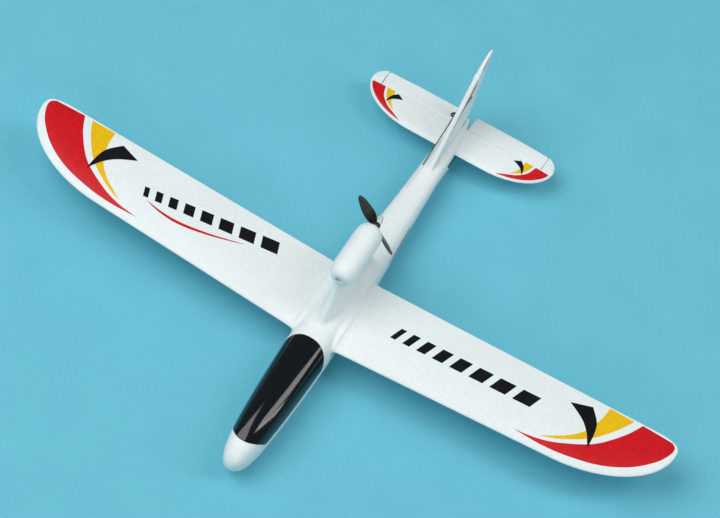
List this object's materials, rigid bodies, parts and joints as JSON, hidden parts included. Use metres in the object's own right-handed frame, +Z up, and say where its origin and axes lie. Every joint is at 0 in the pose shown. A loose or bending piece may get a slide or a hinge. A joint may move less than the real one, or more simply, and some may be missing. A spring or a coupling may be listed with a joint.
{
  "type": "radio-controlled electric glider",
  "caption": "White foam electric glider with a pusher propeller on a pylon, lift-off black canopy, and working elevator, rudder and pushrods.",
  "frame": {"origin": "centre of the bounding box at the belly skid, the surface the glider rests on", "axes": "+X to the left (port) wing tip, +Y aft from nose to tail, +Z up"},
  "size_m": [0.658, 0.4598, 0.129],
  "materials": {
    "foam": "moulded white bead foam, satin",
    "skid_plastic": "satin",
    "canopy_black": "high gloss",
    "magnet_nickel": "plated",
    "plywood": "bare light plywood",
    "battery_wrap": "shrink wrap",
    "strap_fabric": "woven hook and loop",
    "plug_plastic": "moulded",
    "lead_red": "silicone sleeve",
    "receiver_case": "moulded",
    "controller_wrap": "shrink wrap",
    "lead_black": "silicone sleeve",
    "servo_case": "smoked moulding",
    "screw_steel": "plated",
    "white_nylon": "moulded nylon",
    "rod_steel": "black oxide wire",
    "guide_tube": "extruded, natural white",
    "carbon": "drawn carbon rod",
    "black_plastic": "moulded",
    "motor_metal": "turned",
    "copper": "enamelled windings",
    "shaft_steel": "ground",
    "propeller_black": "moulded"
  },
  "bodies": {
    "airframe": {"fuselage_left": "foam", "fuselage_right": "foam", "belly_skid": "skid_plastic", "hatch_magnets": "magnet_nickel", "front_former": "foam", "rear_former": "foam", "battery_tray": "plywood", "battery": "battery_wrap", "battery_strap": "strap_fabric", "battery_plug": "plug_plastic", "battery_leads": "lead_red", "supply_leads": "lead_red", "receiver": "receiver_case", "speed_controller": "controller_wrap", "motor_leads": "lead_black", "servo_tray": "plywood", "elevator_servo": "servo_case", "rudder_servo": "servo_case", "servo_screws": "screw_steel", "elevator_guide_tube": "guide_tube", "rudder_guide_tube": "guide_tube", "wing_left": "foam", "wing_right": "foam", "wing_spar_left": "carbon", "wing_spar_right": "carbon", "wing_joiner": "plywood", "pod_left": "foam", "pod_right": "foam", "motor_mount": "black_plastic", "motor_stator": "motor_metal", "motor_windings": "copper", "motor_screws": "screw_steel", "stabilizer": "foam", "elevator_hinges": "white_nylon", "fin": "foam", "rudder_hinge_wire": "shaft_steel", "rudder_hinges": "white_nylon"},
    "canopy": {"canopy_shell": "canopy_black", "canopy_posts": "foam", "canopy_magnets": "magnet_nickel"},
    "propeller": {"motor_bell": "motor_metal", "motor_shaft": "shaft_steel", "propeller_blades": "propeller_black", "prop_hub": "white_nylon", "spinner": "white_nylon"},
    "elevator": {"elevator_left": "foam", "elevator_right": "foam", "elevator_joiner": "shaft_steel", "elevator_horn": "black_plastic"},
    "rudder": {"rudder": "foam", "rudder_horn": "black_plastic"},
    "elevator_pushrod": {"elevator_pushrod": "rod_steel"},
    "rudder_pushrod": {"rudder_pushrod": "rod_steel"},
    "elevator_servo_arm": {"elevator_servo_arm": "white_nylon"},
    "rudder_servo_arm": {"rudder_servo_arm": "white_nylon"}
  },
  "joints": [
    {"name": "prop_spin", "type": "hinge", "parent": "airframe", "child": "propeller", "pos_m": [0, 0.01275, 0.096], "axis": [0, 1, 0], "continuous": true},
    {"name": "elevator_hinge", "type": "hinge", "parent": "airframe", "child": "elevator", "pos_m": [0, 0.19675, 0.024], "axis": [1, 0, 0], "range_deg": [-22, 22]},
    {"name": "rudder_hinge", "type": "hinge", "parent": "airframe", "child": "rudder", "pos_m": [0, 0.19234, 0.03258], "axis": [0, 0.203, 0.9792], "range_deg": [-22, 22]},
    {"name": "elevator_rod_slide", "type": "slide", "parent": "airframe", "child": "elevator_pushrod", "axis": [0.0265, 0.9985, -0.0479], "range_m": [-0.0036, 0.0036]},
    {"name": "rudder_rod_slide", "type": "slide", "parent": "airframe", "child": "rudder_pushrod", "axis": [-0.0187, 0.9994, 0.0283], "range_m": [-0.0036, 0.0036]},
    {"name": "elevator_servo_turn", "type": "hinge", "parent": "airframe", "child": "elevator_servo_arm", "pos_m": [0.01, -0.07425, 0.0296], "axis": [0, 0, 1], "range_deg": [-32, 32]},
    {"name": "rudder_servo_turn", "type": "hinge", "parent": "airframe", "child": "rudder_servo_arm", "pos_m": [-0.01, -0.07425, 0.0296], "axis": [0, 0, 1], "range_deg": [-32, 32]},
    {"name": "canopy_lift", "type": "slide", "parent": "airframe", "child": "canopy", "axis": [0, 0, 1], "range_m": [0, 0.08]}
  ],
  "couplings": [
    {"joint": "elevator_rod_slide", "follows": "elevator_hinge", "m_per_rad": 0.0092},
    {"joint": "elevator_servo_turn", "follows": "elevator_hinge", "ratio": -1.4154},
    {"joint": "rudder_rod_slide", "follows": "rudder_hinge", "m_per_rad": -0.0092},
    {"joint": "rudder_servo_turn", "follows": "rudder_hinge", "ratio": -1.4154}
  ]
}
